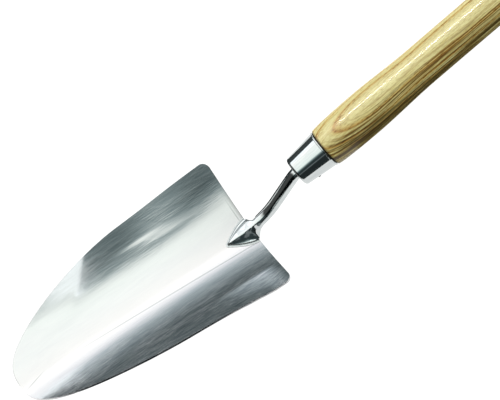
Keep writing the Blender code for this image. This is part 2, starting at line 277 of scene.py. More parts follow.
def add(tree, kind, inputs=None, **settings):
    """Adds a node, gives it its settings, and fills its inputs."""
    node = tree.nodes.new("ShaderNode" + kind)
    for name, value in settings.items():
        setattr(node, name, value)
    fill(tree, node, inputs or {})
    return node


def new_material(name):
    """A node material with a principled shader, as (material, tree, shader)."""
    material = bpy.data.materials.new(name)
    material.use_nodes = True
    tree = material.node_tree
    return material, tree, tree.nodes["Principled BSDF"]


def set_stops(ramp_node, stops):
    """Gives a colour ramp its stops: places and linear colours."""
    elements = ramp_node.color_ramp.elements
    while len(elements) < len(stops):
        elements.new(1.0)
    for element, (place, colour) in zip(elements, stops):
        element.position = place
        element.color = colour


def new_object(name, data):
    obj = bpy.data.objects.new(name, data)
    bpy.context.scene.collection.objects.link(obj)
    return obj


def blank(name, bm):
    """An object from mesh code, before its modifiers are applied."""
    mesh = bpy.data.meshes.new(name)
    bm.to_mesh(mesh)
    bm.free()
    return new_object(name, mesh)


def ease(share):
    share = min(max(share, 0.0), 1.0)
    return share * share * (3 - 2 * share)


# Frames


def tool_frame():
    """Where the tool frame lies at rest, worked out from the mount on the butt."""
    butt = frame["record"]["mounts"][0]
    axis = Vector(butt["axis"]).normalized()
    pitch = HANDLE_LIFT - math.atan2(axis.z, axis.x)
    lay = Matrix.Rotation(pitch, 4, "Y")
    ferrule_end = Vector(butt["pos_m"]) - axis * (FERRULE_LENGTH + FIT + HANDLE_LENGTH)
    origin = ferrule_end - lay @ Vector((FERRULE_REACH, 0, FERRULE_RISE))
    return Matrix.Translation(origin) @ lay


TOOL = tool_frame()
HANDLE = (
    TOOL
    @ Matrix.Translation((FERRULE_REACH, 0, FERRULE_RISE))
    @ Matrix.Rotation(math.pi / 2 - HANDLE_LIFT, 4, "Y")
)


def make_camera():
    aim = Matrix.Translation((0, 0, CAMERA_AIM_HEIGHT))
    round_tool = Matrix.Rotation(math.pi / 2 + CAMERA_AZIMUTH, 4, "Z")
    over_tool = Matrix.Rotation(math.pi / 2 - CAMERA_ELEVATION, 4, "X")
    back = Matrix.Rotation(CAMERA_ROLL, 4, "Z") @ Matrix.Translation((0, 0, CAMERA_DISTANCE))
    camera = new_object("camera", bpy.data.cameras.new("camera"))
    camera.matrix_world = TOOL @ aim @ round_tool @ over_tool @ back
    camera.data.lens = CAMERA_LENS
    camera.data.sensor_width = CAMERA_SENSOR
    camera.data.shift_x = CAMERA_SHIFT_X_PIXELS / IMAGE_WIDTH
    camera.data.shift_y = CAMERA_SHIFT_Y_PIXELS / IMAGE_WIDTH
    bpy.context.scene.camera = camera


# Studio: a wide overhead softbox, a dark room with one pale line on the camera's side, and a white table
TABLE_REACH = 30.0
TABLE_CELLS = 8
TABLE_BELOW = 0.0002
MATS_BELOW = 0.0001

# Mats on the table: name, one corner and the opposite one
MATS = [
    ("mat_front", (-TABLE_REACH, -TABLE_REACH), (TABLE_REACH, -0.15)),
    ("mat_back", (-TABLE_REACH, 0.15), (TABLE_REACH, TABLE_REACH)),
    # The mats beside the neck and under the handle are painted shade: dark sheets that stand in for the
    # tool's shade on the table
    ("shade_mat_by_neck", (-0.16, 0.012), (-0.071, 0.15)),
    ("shade_mat_by_handle", (-0.025, -0.12), (0.30, -0.004)),
]
SCREEN_FROM = -2.0
SCREEN_TO = -0.19
SCREEN_AWAY = 1.0
SCREEN_HEIGHT = 0.62

# Lamps: name, place, aim, width along the tool, height, radiance of the face, colour, whether it shows in
# gloss alone or else on matt surfaces alone, and its turn in degrees
LAMPS = [
    ("varnish_strip", (-0.005, 0.65, 1.27), (0.03, 0.0, 0.03), 0.29, 0.17, 78.0, "#FFFFFF", True, 0),
    ("wood_fill", (0.10, 1.10, 0.60), (0.10, 0.0, 0.02), 0.9, 0.6, 3.5, "#FFFFF6", False, 0),
    ("nose_card", (0.115, -0.72, 1.30), (-0.2, 0.03, 0.045), 0.20, 0.30, 1.0, "#FFFFFF", True, 0),
    ("side_card", (-0.395, 1.21, 0.53), (-0.395, -0.02, 0.005), 0.50, 0.84, 0.7, "#FFFFFF", True, 15),
    ("flank_fill", (0.10, -1.05, 0.45), (0.10, 0.0, 0.02), 0.9, 0.5, 3.6, "#FAFFF2", False, 0),
]
ROOM_STRENGTH = 2.0

# The softbox stops before the end walls: x of the direction, from and to, and the share of the light there
END_WALLS = [(-0.62, -0.40, 0.06, 1.0), (0.38, 0.85, 1.0, 0.15)]

# Light round the tool's long axis: degrees from overhead toward +Y, brightness, colour
ROOM_LIGHT = [
    (-180, 0.22, "#E8E4DC"),
    (-125, 0.22, "#E8E4DC"),
    (-100, 0.04, "#6C7A7C"),
    (-64, 0.035, "#6C7A7C"),
    (-55, 0.05, "#6E8284"),
    (-53.5, 0.30, "#A0A8AA"),
    (-51.5, 0.30, "#A0A8AA"),
    (-50, 0.06, "#6E8286"),
    (-38, 0.07, "#788E90"),
    (-34, 0.13, "#819496"),
    (-32, 0.25, "#8DA0A2"),
    (-30, 0.38, "#9CAFB0"),
    (-28, 0.52, "#B0C2C2"),
    (-26, 0.76, "#C9D8D7"),
    (-24, 1.2, "#EEF6F2"),
    (-18, 1.56, "#F4FBF6"),
    (0, 1.57, "#F8FCF9"),
    (28, 1.60, "#FCFCF9"),
    (35, 1.85, "#FDFCFB"),
    (42, 1.75, "#FCFCFC"),
    (47, 1.60, "#FAFBFC"),
    (52, 1.36, "#F0F2F6"),
    (58, 0.91, "#D3DFE4"),
    (64, 0.63, "#C4D3D7"),
    (70, 0.545, "#C1D0D4"),
    (76, 0.32, "#BCCCCF"),
    (80, 0.20, "#B4C6C8"),
    (86, 0.155, "#AEC0C3"),
    (97, 0.10, "#B0BCC0"),
    (125, 0.22, "#E8E4DC"),
    (180, 0.22, "#E8E4DC"),
]


def make_room():
    world = bpy.data.worlds.new("studio_room")
    bpy.context.scene.world = world
    world.use_nodes = True
    tree = world.node_tree
    where = add(tree, "TexCoord")
    parts = add(tree, "SeparateXYZ", {0: where.outputs["Generated"]})
    lean = add(tree, "Math", {0: parts.outputs["Y"], 1: parts.outputs["Z"]}, operation="ARCTAN2")
    share = add(tree, "MapRange", {"Value": lean.outputs[0], "From Min": -math.pi, "From Max": math.pi})
    ramp = add(tree, "ValToRGB", {"Fac": share.outputs[0]})
    stops = []
    for degrees, brightness, colour in ROOM_LIGHT:
        tint = linear(colour)
        peak = max(tint[:3])
        lit = tuple(brightness / ROOM_STRENGTH * c / peak for c in tint[:3]) + (1.0,)
        stops.append(((degrees + 180) / 360, lit))
    set_stops(ramp, stops)
    strength = ROOM_STRENGTH
    for start, end, at_start, at_end in END_WALLS:
        wall = add(tree, "MapRange", {
            "Value": parts.outputs["X"],
            "From Min": start,
            "From Max": end,
            "To Min": at_start,
            "To Max": at_end,
        }, interpolation_type="SMOOTHSTEP")
        strength = add(tree, "Math", {0: strength, 1: wall.outputs[0]}, operation="MULTIPLY").outputs[0]
    fill(tree, tree.nodes["Background"], {"Color": ramp.outputs["Color"], "Strength": strength})


def make_table():
    """White acrylic lit from below: plain white with a faint shadow, and wider than any view."""
    bm = bmesh.new()
    bmesh.ops.create_grid(bm, x_segments=TABLE_CELLS, y_segments=TABLE_CELLS, size=TABLE_REACH)
    table = blank("white_table", bm)
    table.location.z = -TABLE_BELOW
    material, tree, shader = new_material("lit_white_acrylic")
    fill(tree, shader, {
        "Base Color": linear("#707070"),
        "Roughness": 0.9,
        "Specular IOR Level": 0.0,
        "Emission Color": linear("#FFFFFF"),
        "Emission Strength": 1.0,
    })
    table.data.materials.append(material)
    table.visible_diffuse = False


def make_card(name, corners, material):
    """A flat card beside the tool that only the gloss of the pieces sees."""
    mesh = bpy.data.meshes.new(name)
    mesh.from_pydata(corners, [], [(0, 1, 2, 3)])
    mesh.materials.append(material)
    card = new_object(name, mesh)
    card.visible_camera = False
    card.visible_shadow = False
    card.visible_diffuse = False


def make_mats():
    """Dark felt mats on the table, seen only in gloss: they give the steel's lower flanks their dark
    reflections. The two beside the neck and under the handle are painted shade: dark sheets that stand in
    for the tool's shade on the table.
    """
    material, tree, shader = new_material("black_felt_and_shade")
    fill(tree, shader, {"Base Color": linear("#303638"), "Roughness": 1.0, "Specular IOR Level": 0.0})
    for name, (x_low, y_low), (x_high, y_high) in MATS:
        around = [(x_low, y_low), (x_high, y_low), (x_high, y_high), (x_low, y_high)]
        make_card(name, [(x, y, -MATS_BELOW) for x, y in around], material)


def make_screen():
    """A slate cloth screen beyond the tool's tip that glows dimly by emission though it is no lamp: painted
    light. The dark line along the ferrule's far edge mirrors it.
    """
    material, tree, shader = new_material("glowing_slate_cloth")
    # Painted light: the cloth's brightness is a glow of its own, not light that falls on it
    fill(tree, shader, {
        "Base Color": linear("#000000"),
        "Specular IOR Level": 0.0,
        "Emission Color": linear("#B0BCBC"),
        "Emission Strength": 0.16,
    })
    around = [(SCREEN_FROM, 0), (SCREEN_TO, 0), (SCREEN_TO, SCREEN_HEIGHT), (SCREEN_FROM, SCREEN_HEIGHT)]
    make_card("slate_screen", [(x, SCREEN_AWAY, z) for x, z in around], material)


def make_lamp(name, place, aim, width, height, radiance, colour, in_gloss, turn):
    """A rectangular softbox that faces its aim."""
    data = bpy.data.lights.new(name, "AREA")
    data.shape = "RECTANGLE"
    data.size = width
    data.size_y = height
    data.energy = radiance * math.pi * width * height
    data.color = linear(colour)[:3]
    lamp = new_object(name, data)
    away = (Vector(place) - Vector(aim)).normalized()
    along = (Vector((1, 0, 0)) - away * away.x).normalized()
    placed = Matrix((along, away.cross(along), away)).transposed().to_4x4()
    placed.translation = Vector(place)
    lamp.matrix_world = placed @ Matrix.Rotation(math.radians(turn), 4, "Z")
    lamp.visible_camera = False
    lamp.visible_diffuse = not in_gloss
    lamp.visible_glossy = in_gloss
    return lamp


# Shapes


def finish_piece(obj, name, placed, material, node):
    """Applies the modifiers, keeps each point's place in the maker's frame for the materials, and puts
    the mesh where its CAD node lies."""
    bpy.context.view_layer.update()
    made = obj.evaluated_get(bpy.context.evaluated_depsgraph_get())
    mesh = bpy.data.meshes.new_from_object(made)
    bpy.data.objects.remove(obj)
    mesh.name = name
    places = np.zeros(len(mesh.vertices) * 3, np.float32)
    mesh.vertices.foreach_get("co", places)
    mesh.attributes.new(MAKER_PLACE, "FLOAT_VECTOR", "POINT").data.foreach_set("vector", places)
    mesh.transform(placed)
    mesh.shade_smooth()
    mesh.set_sharp_from_angle(angle=SHARP_ANGLE)
    mesh.materials.clear()
    mesh.materials.append(material)
    piece = new_object(name, mesh)
    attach(piece, "root")
    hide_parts(node)
    return piece


def turned(name, profile):
    """A solid turned about local Z from (radius, height) points."""
    bm = bmesh.new()
    verts = [bm.verts.new((radius, 0, height)) for radius, height in profile]
    for first, second in zip(verts, verts[1:]):
        bm.edges.new((first, second))
    if profile[0][0] > DOUBLES:
        bm.edges.new((verts[-1], verts[0]))
    obj = blank(name, bm)
    screw = obj.modifiers.new("turn", "SCREW")
    screw.axis = "Z"
    screw.steps = TURN_STEPS
    screw.render_steps = TURN_STEPS
    screw.use_merge_vertices = True
    screw.merge_threshold = DOUBLES
    screw.use_smooth_shade = True
    return obj


def join_rings(bm, rings):
    """Faces between each closed ring of points and the next."""
    for ring, following in zip(rings, rings[1:]):
        for i in range(len(ring)):
            bm.faces.new((ring[i - 1], ring[i], following[i], following[i - 1]))


def capped_bar(name, sections):
    """A solid through closed sections of points, with flat ends."""
    bm = bmesh.new()
    rings = [[bm.verts.new(point) for point in section] for section in sections]
    join_rings(bm, rings)
    bm.faces.new(rings[0])
    bm.faces.new(rings[-1])
    bmesh.ops.recalc_face_normals(bm, faces=bm.faces)
    return blank(name, bm)


def arc_points(centre, radius, start, end, count):
    angles = np.radians(np.linspace(start, end, count))
    return [(centre[0] + radius * math.cos(a), centre[1] + radius * math.sin(a)) for a in angles]


def blade_half_width(back):
    straight = BLADE_REAR_WIDTH / 2 - back * math.tan(BLADE_SIDE_ANGLE)
    nose_length = BLADE_LENGTH - BLADE_STRAIGHT_LENGTH
    share = min(max((back - BLADE_STRAIGHT_LENGTH) / nose_length, 0.0), 1.0)
    return straight * (1 - share ** NOSE_FULLNESS) ** (1 / NOSE_BLUNTNESS)


def blade_section(y):
    """Rise of the blade's section for a radius of 1: an arc in the middle, eased into straight wings."""
    middle = min(abs(y), BLADE_ROUND_TO)
    easing = min(max(abs(y) - BLADE_ROUND_TO, 0.0), BLADE_STRAIGHT_FROM - BLADE_ROUND_TO)
    wing = max(abs(y) - BLADE_STRAIGHT_FROM, 0.0)
    rise = middle ** 2 / 2 + BLADE_ROUND_TO * easing + easing ** 2 / 2
    rise -= easing ** 3 / (6 * (BLADE_STRAIGHT_FROM - BLADE_ROUND_TO))
    return rise + (BLADE_ROUND_TO + BLADE_STRAIGHT_FROM) / 2 * wing


def blade_inner_height(x, y):
    share = -x / BLADE_LENGTH
    curve = (
        (1 - share) * (1 - 2 * share) / BLADE_REAR_RADIUS
        + 4 * share * (1 - share) / BLADE_MIDDLE_RADIUS
        + share * (2 * share - 1) / BLADE_NOSE_RADIUS
    )
    lengthwise = BLADE_BOW * 4 * share * (1 - share) - BLADE_TIP_DROP * share ** 3
    return curve * blade_section(y) + lengthwise


def corner_inset(across):
    half = BLADE_REAR_WIDTH / 2
    into = max(abs(across) * half - (half - BLADE_CORNER_RADIUS), 0.0)
    return BLADE_CORNER_RADIUS - math.sqrt(max(BLADE_CORNER_RADIUS ** 2 - into * into, 0.0))


def edge_round(back_share, across):
    """Radius of the sheet's edge: nearly sharp along the sides, worn softer round the left of the nose."""
    worn = ease((back_share - EDGE_WORN_FROM) / EDGE_WORN_GROWS)
    worn *= ease((across - EDGE_WORN_SIDE) / EDGE_WORN_SIDE_GROWS)
    return BLADE_SIDE_ROUND + (BLADE_NOSE_ROUND - BLADE_SIDE_ROUND) * worn


def blade_point(back_share, across, turn, back_face):
    """A point of the sheet. The turn goes round its edge, from 0 on a face to a quarter at the outline."""
    radius = edge_round(back_share, across)
    inset = radius * (1 - math.sin(turn))
    depth = radius * (1 - math.cos(turn))
    if back_face:
        depth = BLADE_THICKNESS - depth
    corner = corner_inset(across) * (1 - back_share) ** CORNER_FADE
    back = min(BLADE_LENGTH * back_share + corner, BLADE_LENGTH)
    y = across * blade_half_width(back) * (1 - 2 * inset / BLADE_REAR_WIDTH)
    x = -BLADE_LENGTH / 2 + (BLADE_LENGTH / 2 - back) * (1 - 2 * inset / BLADE_LENGTH)
    step = SLOPE_STEP
    slope_x = (shown_height(x + step, y) - shown_height(x - step, y)) / (2 * step)
    slope_y = (shown_height(x, y + step) - shown_height(x, y - step)) / (2 * step)
    inward = Vector((-slope_x, -slope_y, 1.0)).normalized()
    return Vector((x, y, shown_height(x, y))) - inward * depth


def nose_crease(x, y):
    """How far the sheet lies lower beyond the soft crease where the nose's dish begins on the left wing."""
    beyond = (CREASE_BACK - x) * CREASE_LEAN + (y - CREASE_SIDE) * math.sqrt(1 - CREASE_LEAN ** 2)
    folded = CREASE_ROUND * math.log1p(math.exp(min(beyond / CREASE_ROUND, CREASE_LIMIT)))
    return CREASE_SLOPE * folded * ease((y - CREASE_FROM) / (CREASE_FULL - CREASE_FROM))


def eased_slope(beyond, width):
    """How far a slope of 1 has gone that starts at 0 and eases to level over the width."""
    reach = min(max(beyond, 0.0), width)
    return reach - reach ** 2 / (2 * width)


def rear_corner_flat(x, y):
    """How far the right rear corner is flattened beyond a soft line along the wing."""
    lower = eased_slope(-CORNER_FLAT_SIDE - y, CORNER_FLAT_WIDTH)
    along = ease((-x - CORNER_FLAT_START) / CORNER_FLAT_RISE)
    along *= 1 - ease((-x - CORNER_FLAT_FROM) / CORNER_FLAT_FADE)
    return CORNER_FLAT_SLOPE * lower * along


def wing_wave(x, y):
    """How far the left wing stands lower: in its middle part and beside the raised rear corner."""
    lower = eased_slope(y - WAVE_SIDE, WAVE_WIDTH)
    middle = math.exp(-((-x - WAVE_MIDDLE) / WAVE_MIDDLE_REACH) ** 2)
    corner = math.exp(-((-x - WAVE_CORNER) / WAVE_CORNER_REACH) ** 2)
    raised = WAVE_CORNER_RAISE * ease((y - WAVE_CORNER_SIDE) / WAVE_CORNER_WIDTH)
    shoulder = math.exp(-((-x - WAVE_CORNER) / SHOULDER_REACH) ** 2)
    rounder = SHOULDER_DROP * ease((y - SHOULDER_SIDE) / SHOULDER_WIDTH)
    return WAVE_MIDDLE_SLOPE * lower * middle - raised * corner + rounder * shoulder


def wing_step(x, y):
    """A faint step that the press left on the left wing."""
    along = math.exp(-((-x - STEP_BACK) / STEP_REACH) ** 2)
    return STEP_HEIGHT / 2 * (1 + math.tanh((y - STEP_SIDE) / STEP_WIDTH)) * along


def lip_drop(x, y):
    """How far the shear bent the rear edge down."""
    beside = ease((y - REAR_LIP_FROM) / REAR_LIP_GROWS)
    beside *= 1 - ease((y - REAR_LIP_TO) / REAR_LIP_FADES)
    return REAR_LIP_DROP * max(1 + x / REAR_LIP_WIDTH, 0.0) ** 2 * beside


def shown_height(x, y):
    low = lip_drop(x, y) + nose_crease(x, y) + rear_corner_flat(x, y)
    return blade_inner_height(x, y) - low - wing_wave(x, y) - wing_step(x, y)


def blade_back_shares():
    """Where the rows of the sheet lie: close together at the rear lip and at the nose."""
    lip_rows = int(REAR_ROWS_TO / REAR_ROW_SPACING)
    shares = [REAR_ROW_SPACING * i / BLADE_LENGTH for i in range(lip_rows)]
    nose = [math.sin(math.pi / 2 * i / BLADE_ROWS) for i in range(BLADE_ROWS + 1)]
    return shares + [share for share in nose if share > shares[-1] + REAR_ROW_SPACING / BLADE_LENGTH]


def make_blade(material):
    shares = blade_back_shares()
    acrosses = [math.sin(math.pi / 2 * (2 * j / BLADE_COLUMNS - 1)) for j in range(BLADE_COLUMNS + 1)]
    last_row = len(shares) - 1
    last = BLADE_COLUMNS
    bm = bmesh.new()
    faces = []
    for back_face in (False, True):
        rows = [
            [bm.verts.new(blade_point(share, across, 0.0, back_face)) for across in acrosses]
            for share in shares[:-1]
        ]
        tip = bm.verts.new(blade_point(1.0, 0.0, 0.0, back_face))
        for row, following in zip(rows, rows[1:]):
            for j in range(last):
                bm.faces.new((row[j], row[j + 1], following[j + 1], following[j]))
        for j in range(last):
            bm.faces.new((rows[-1][j], rows[-1][j + 1], tip))
        faces.append(rows + [[tip]])
    around = [(0, j) for j in range(last + 1)]
    around += [(i, last) for i in range(1, last_row)]
    around += [(last_row, 0)]
    around += [(i, 0) for i in range(last_row - 1, 0, -1)]
    places = [(shares[i], acrosses[j] if i < last_row else 0.0) for i, j in around]
    turns = [math.pi / 2 * i / EDGE_STEPS for i in range(1, EDGE_STEPS + 1)]
    levels = [(turn, False) for turn in turns] + [(turn, True) for turn in turns[::-1]]
    loops = [[faces[0][i][j] for i, j in around]]
    for turn, back_face in levels:
        points = [blade_point(share, across, turn, back_face) for share, across in places]
        loops.append([bm.verts.new(point) for point in points])
    loops.append([faces[1][i][j] for i, j in around])
    join_rings(bm, loops)
    bmesh.ops.recalc_face_normals(bm, faces=bm.faces)
    obj = blank("blade_blank", bm)
    return finish_piece(obj, "pressed_blade", TOOL, material, "blade")


def rounded_path(corners, radii):
    points = [corners[0]]
    for before, corner, after, radius in zip(corners, corners[1:], corners[2:], radii):
        length_in = np.linalg.norm(corner - before)
        length_out = np.linalg.norm(after - corner)
        into = (corner - before) / length_in
        out = (after - corner) / length_out
        turn = math.atan2(into[0] * out[1] - into[1] * out[0], float(into @ out))
        room = BEND_ROOM * min(length_in, length_out)
        tangent = min(radius * math.tan(abs(turn) / 2), room)
        used = tangent / math.tan(abs(turn) / 2)
        start = corner - into * tangent
        side = math.copysign(1.0, turn) * np.array([-into[1], into[0]])
        for step in range(BEND_STEPS + 1):
            angle = abs(turn) * step / BEND_STEPS
            points.append(start + into * used * math.sin(angle) + side * used * (1 - math.cos(angle)))
    points.append(corners[-1])
    return points


def subdivided(points):
    result = [points[0]]
    for first, second in zip(points, points[1:]):
        pieces = max(1, math.ceil(np.linalg.norm(second - first) / NECK_RING_SPACING))
        result.extend(first + (second - first) * (i + 1) / pieces for i in range(pieces))
    return result


def foot_half_width(x):
    if x <= 0:
        share = min(-x / FOOT_LENGTH, 1.0)
        return max(FOOT_WIDTH / 2 * (1 - share ** FOOT_LEAF_POWER), FOOT_POINT)
    heel = max(1 - x / FOOT_SHOULDER_LENGTH, 0.0) ** 2
    return NECK_RADIUS + (FOOT_WIDTH / 2 - NECK_RADIUS) * heel


def foot_ridge_height(x):
    share = min(max(1 + x / FOOT_LENGTH, 0.0), 1.0)
    return FOOT_POINT + (NECK_RADIUS - FOOT_POINT) * share ** FOOT_RIDGE_POWER


def foot_face(x, y, half, edge, top):
    """Height of the foot's upper side: scooped right of its ridge, gentle left of it and then bevelled."""
    ridge = -FOOT_RIDGE_SIDE * min(max(1 + x / FOOT_LENGTH, 0.0), 1.0)
    if y < ridge:
        return edge + (top - edge) * (1 - (ridge - y) / (half + ridge)) ** FOOT_SCOOP_POWER
    bevel = FOOT_BEVEL * half / (FOOT_WIDTH / 2)
    shoulder = half - bevel
    shoulder_height = max(top - (shoulder - ridge) * math.tan(FOOT_LEFT_SLOPE), edge)
    if y < shoulder:
        return top - (top - shoulder_height) * (y - ridge) / (shoulder - ridge)
    down = (y - shoulder) / bevel
    fall = min(start + slope * down for start, slope in FOOT_BEVEL_FALLS)
    return shoulder_height - (shoulder_height - edge) * fall


def foot_dent(x, y):
    """Shallow marks of the hammer that drew the foot out, deeper on the right of the ridge."""
    share = 1 - (1 - FOOT_LEFT_DENT_SHARE) * ease((y + FOOT_RIDGE_SIDE) / FOOT_DENT_EASE)
    return FOOT_DENT_DEPTH * share * noise.noise(Vector((x, y, 0.0)) / FOOT_DENT_SIZE)


def neck_path():
    foot_slope = (FOOT_HEEL_HEIGHT - FOOT_TIP_HEIGHT) / FOOT_LENGTH
    foot_tip = np.array([-FOOT_LENGTH, FOOT_TIP_HEIGHT])
    knee = np.array([NECK_KNEE_REACH, FOOT_HEEL_HEIGHT + foot_slope * NECK_KNEE_REACH])
    ferrule_end = np.array([FERRULE_REACH, FERRULE_RISE])
    along = np.array([math.cos(HANDLE_LIFT), math.sin(HANDLE_LIFT)])
    collar = ferrule_end - along * NECK_COLLAR_OUT
    taper_start = ferrule_end + along * TANG_TAPER_START
    tang_end = ferrule_end + along * TANG_LENGTH
    bent = rounded_path([foot_tip, knee, collar, taper_start], [NECK_KNEE_BEND, NECK_COLLAR_BEND])
    return subdivided(bent) + [tang_end]


def neck_section(point, direction, radius):
    """One ring of the neck: a ridged leaf over the blade that turns into a round bar behind it."""
    up = np.array([-direction[1], direction[0]])
    x = point[0]
    leaf = 1 - ease(x / NECK_BLEND_LENGTH)
    slimmed = radius / NECK_RADIUS
    half = foot_half_width(x) * slimmed
    top = foot_ridge_height(x) * slimmed
    ring = []
    for i in range(NECK_SIDES):
        angle = 2 * math.pi * i / NECK_SIDES
        y = half * math.cos(angle)
        round_height = (top if math.sin(angle) > 0 else radius) * math.sin(angle)
        floor = (blade_inner_height(min(x, 0.0), y) + FIT - point[1]) / up[1]
        edge = floor + min(FOOT_EDGE, (top - floor) / 2)
        dented = max(math.sin(angle), 0.0) * (1 - ease(1 + x / FOOT_LENGTH - FOOT_DENT_FADE_FROM))
        leaf_height = foot_face(x, y, half, edge, top) + foot_dent(x, y) * dented
        if math.sin(angle) < -DOUBLES:
            leaf_height = floor
        height = leaf * leaf_height + (1 - leaf) * round_height
        ring.append((x + up[0] * height, y, point[1] + up[1] * height))
    return ring


def make_neck(material):
    path = neck_path()
    sections = []
    for i, point in enumerate(path):
        before = path[max(i - 1, 0)]
        after = path[min(i + 1, len(path) - 1)]
        direction = (after - before) / np.linalg.norm(after - before)
        radius = TANG_TIP_DIAMETER / 2 if i == len(path) - 1 else NECK_RADIUS
        sections.append(neck_section(point, direction, radius))
    obj = capped_bar("neck_blank", sections)
    return finish_piece(obj, "forged_neck", TOOL, material, "swan_neck")


def weld_ring(x, y, outward):
    """The weld's section at a point of the foot's outline: a hollow fillet down to the blade."""
    turns = [math.pi / 2 * i / WELD_STEPS for i in range(WELD_STEPS + 1)]
    section = [(WELD_REACH * (1 - math.cos(turn)), WELD_HEIGHT * (1 - math.sin(turn))) for turn in turns]
    ring = []
    for out, up in section + [(0.0, 0.0)]:
        there_x = x + outward[0] * (WELD_GAP + out)
        there_y = y + outward[1] * (WELD_GAP + out)
        ring.append((there_x, there_y, blade_inner_height(min(there_x, 0.0), there_y) + WELD_GAP + up))
    return ring


def weld_line():
    """Points of the foot's outline with their outward directions, from the left heel round the tip."""
    line = []
    for i in range(WELD_LINE_STEPS + 1):
        x = -WELD_GAP - (FOOT_LENGTH - WELD_GAP) * math.sin(math.pi / 2 * i / WELD_LINE_STEPS)
        share = -x / FOOT_LENGTH
        slope = FOOT_WIDTH / 2 * FOOT_LEAF_POWER * share ** (FOOT_LEAF_POWER - 1) / FOOT_LENGTH
        length = math.hypot(slope, 1.0)
        line.append((x, foot_half_width(x), (-slope / length, 1.0 / length)))
    first = math.atan2(line[-1][2][1], line[-1][2][0])
    bends = [first + (math.pi - first) * i / WELD_TIP_STEPS for i in range(1, WELD_TIP_STEPS + 1)]
    line += [(-FOOT_LENGTH, 0.0, (math.cos(bend), math.sin(bend))) for bend in bends]
    return line + [(x, -y, (out[0], -out[1])) for x, y, out in line[-2::-1]]


def make_weld(material):
    obj = capped_bar("weld_blank", [weld_ring(x, y, out) for x, y, out in weld_line()])
    return finish_piece(obj, "weld_bead", TOOL, material, "foot_weld")


def ferrule_outer_radius(height):
    share = height / FERRULE_LENGTH
    return (FERRULE_SMALL_DIAMETER + (FERRULE_LARGE_DIAMETER - FERRULE_SMALL_DIAMETER) * share) / 2


def ferrule_inner_radius(height):
    taper = math.atan2((FERRULE_LARGE_DIAMETER - FERRULE_SMALL_DIAMETER) / 2, FERRULE_LENGTH)
    return ferrule_outer_radius(height) - FERRULE_WALL / math.cos(taper)


def pin_place():
    """Local Z on the radial line of the pin, in the handle frame, with its outer end raised."""
    outward = Vector((math.sin(PIN_BELOW_SIDE), -math.cos(PIN_BELOW_SIDE), 0))
    middle = ferrule_outer_radius(PIN_FROM_SMALL_END) + PIN_HEAD_RAISE - PIN_LENGTH / 2
    turn = outward.to_track_quat("Z", "Y").to_matrix().to_4x4()
    return Matrix.Translation(outward * middle + Vector((0, 0, PIN_FROM_SMALL_END))) @ turn


def make_ferrule(material):
    rim_low = FERRULE_LENGTH - FERRULE_RIM_WIDTH
    rim = ferrule_outer_radius(FERRULE_LENGTH) + FERRULE_RIM_RAISE
    round_centre = (ferrule_outer_radius(FERRULE_END_ROUND) - FERRULE_END_ROUND, FERRULE_END_ROUND)
    hole = NECK_RADIUS + NECK_HOLE_FIT
    chamfer = FERRULE_RIM_RAISE
    profile = [
        (rim - chamfer, FERRULE_LENGTH),
        (rim, FERRULE_LENGTH - chamfer),
        (rim, rim_low + chamfer),
        (ferrule_outer_radius(rim_low), rim_low),
    ]
    profile += arc_points(round_centre, FERRULE_END_ROUND, 0, -90, FERRULE_ROUND_STEPS)
    profile += [
        (hole, 0),
        (hole, FERRULE_END_WALL),
        (ferrule_inner_radius(FERRULE_END_WALL) - FERRULE_END_ROUND / 2, FERRULE_END_WALL),
        (ferrule_inner_radius(FERRULE_END_ROUND), FERRULE_END_ROUND),
        (ferrule_inner_radius(FERRULE_LENGTH), FERRULE_LENGTH),
    ]
    obj = turned("ferrule_blank", profile)
    return finish_piece(obj, "drawn_ferrule", HANDLE, material, "ferrule")


def make_pin(material):
    bm = bmesh.new()
    radius = PIN_DIAMETER / 2
    bmesh.ops.create_cone(
        bm, cap_ends=True, segments=PIN_SIDES, radius1=radius, radius2=radius, depth=PIN_LENGTH
    )
    bm.transform(pin_place())
    obj = blank("rivet_blank", bm)
    edge = obj.modifiers.new("domed head", "BEVEL")
    edge.width = PIN_HEAD_RAISE
    edge.segments = PIN_HEAD_STEPS
    edge.limit_method = "ANGLE"
    edge.angle_limit = PIN_HEAD_CORNER
    return finish_piece(obj, "ferrule_rivet", HANDLE, material, "ferrule_pin")


def swell_radius(along):
    start = HANDLE_START_DIAMETER / 2
    swell = HANDLE_SWELL_DIAMETER / 2
    shaft = HANDLE_SHAFT_DIAMETER / 2
    if along <= HANDLE_SWELL_AT:
        return start + (swell - start) * math.sin(math.pi / 2 * math.sqrt(along / HANDLE_SWELL_AT))
    share = min((along - HANDLE_SWELL_AT) / (HANDLE_SWELL_END - HANDLE_SWELL_AT), 1.0)
    return shaft + (swell - shaft) * (1 + math.cos(math.pi * share)) / 2


